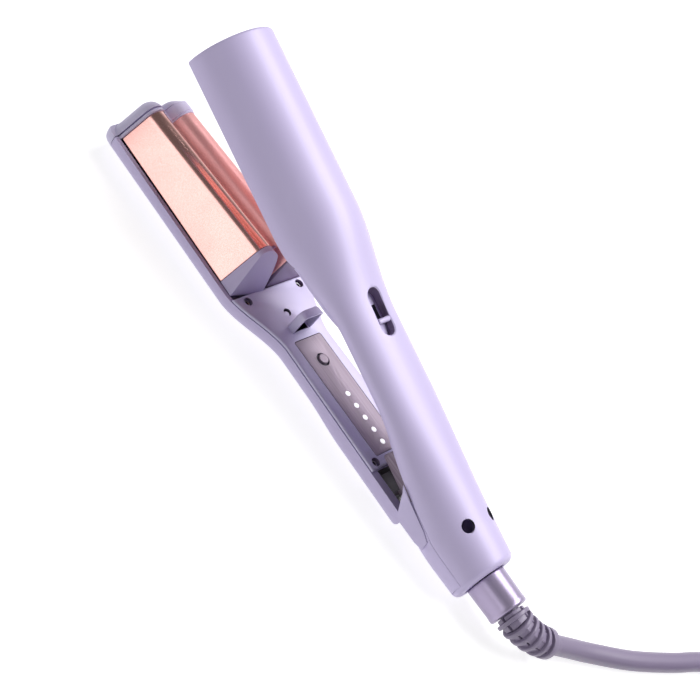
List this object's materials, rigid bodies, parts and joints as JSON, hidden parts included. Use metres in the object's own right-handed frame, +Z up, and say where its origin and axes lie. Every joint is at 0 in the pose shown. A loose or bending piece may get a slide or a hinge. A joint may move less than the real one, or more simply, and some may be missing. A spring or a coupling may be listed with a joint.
{
  "type": "wave curling iron",
  "caption": "Hinged hair-waving iron: ridged copper plates, round barrel over the upper plate, lock slider, brushed control strip and swivel cord.",
  "frame": {"origin": "middle of the iron's footprint on the table, without its cord", "axes": "+X towards the cord end along the control arm, +Y to the control arm's left, +Z up; the control arm lies on its back"},
  "size_m": [0.4842, 0.1707, 0.094],
  "materials": {
    "lavender_shell": "satin lavender moulded plastic",
    "copper_plate": "polished rose copper coating",
    "mauve_metal": "lengthwise brushed mauve metal",
    "soft_cord": "matte lavender grey soft plastic",
    "steel": "plain steel",
    "aluminium": "milled aluminium",
    "ceramic": "white ceramic",
    "dark_plastic": "dark moulded plastic",
    "circuit_board": "coated board",
    "contact_brass": "plain brass",
    "lens": "frosted clear lens"
  },
  "bodies": {
    "main_arm": {"main_outer_shell": "lavender_shell", "main_inner_cover": "lavender_shell", "hinge_block": "mauve_metal", "base_cover": "lavender_shell", "base_ring": "lavender_shell", "upper_wave_plate": "copper_plate", "upper_heat_spreader": "aluminium", "upper_heater": "ceramic", "upper_plate_carrier": "dark_plastic", "root_bulkhead": "lavender_shell", "detent_spring": "steel", "hinge_pin": "steel", "hinge_springs": "steel", "power_board": "circuit_board", "slip_contacts": "contact_brass", "main_screws": "steel", "strain_relief": "soft_cord", "cord_lead": "soft_cord", "cord_coil": "soft_cord", "cord_tie": "dark_plastic", "plug_body": "soft_cord", "plug_pins": "contact_brass"},
    "lock": {"lock_slider": "lavender_shell"},
    "control_arm": {"control_outer_shell": "lavender_shell", "control_inner_cover": "lavender_shell", "tip_cap": "lavender_shell", "lower_wave_plate": "copper_plate", "ridge_end_blocks": "lavender_shell", "lower_heat_bars": "aluminium", "lower_heaters": "ceramic", "lower_plate_carrier": "dark_plastic", "thermal_fuse": "steel", "catch_socket": "lavender_shell", "control_strip": "mauve_metal", "button_switch": "dark_plastic", "led_lenses": "lens", "control_board": "circuit_board", "cover_screws": "steel"},
    "power_key": {"power_button": "mauve_metal"},
    "swivel": {"cord_collar": "lavender_shell", "swivel_spindle": "dark_plastic", "slip_rings": "contact_brass"}
  },
  "joints": [
    {"name": "arm_hinge", "type": "hinge", "parent": "main_arm", "child": "control_arm", "pos_m": [0.07226, 0, 0.009], "axis": [0, 1, 0], "range_deg": [0, 13.5], "stiffness_Nm_per_rad": 1, "springref_deg": -28.65},
    {"name": "lock_slide", "type": "slide", "parent": "main_arm", "child": "lock", "axis": [-0.9724, 0, 0.2334], "range_m": [0, 0.003]},
    {"name": "power_press", "type": "slide", "parent": "control_arm", "child": "power_key", "axis": [0, 0, -1], "range_m": [0, 0.0008], "stiffness_N_per_m": 800, "springref_m": -0.0005},
    {"name": "cord_swivel", "type": "hinge", "parent": "main_arm", "child": "swivel", "pos_m": [0.11824, 0, 0.01545], "axis": [1, 0, 0], "continuous": true}
  ]
}
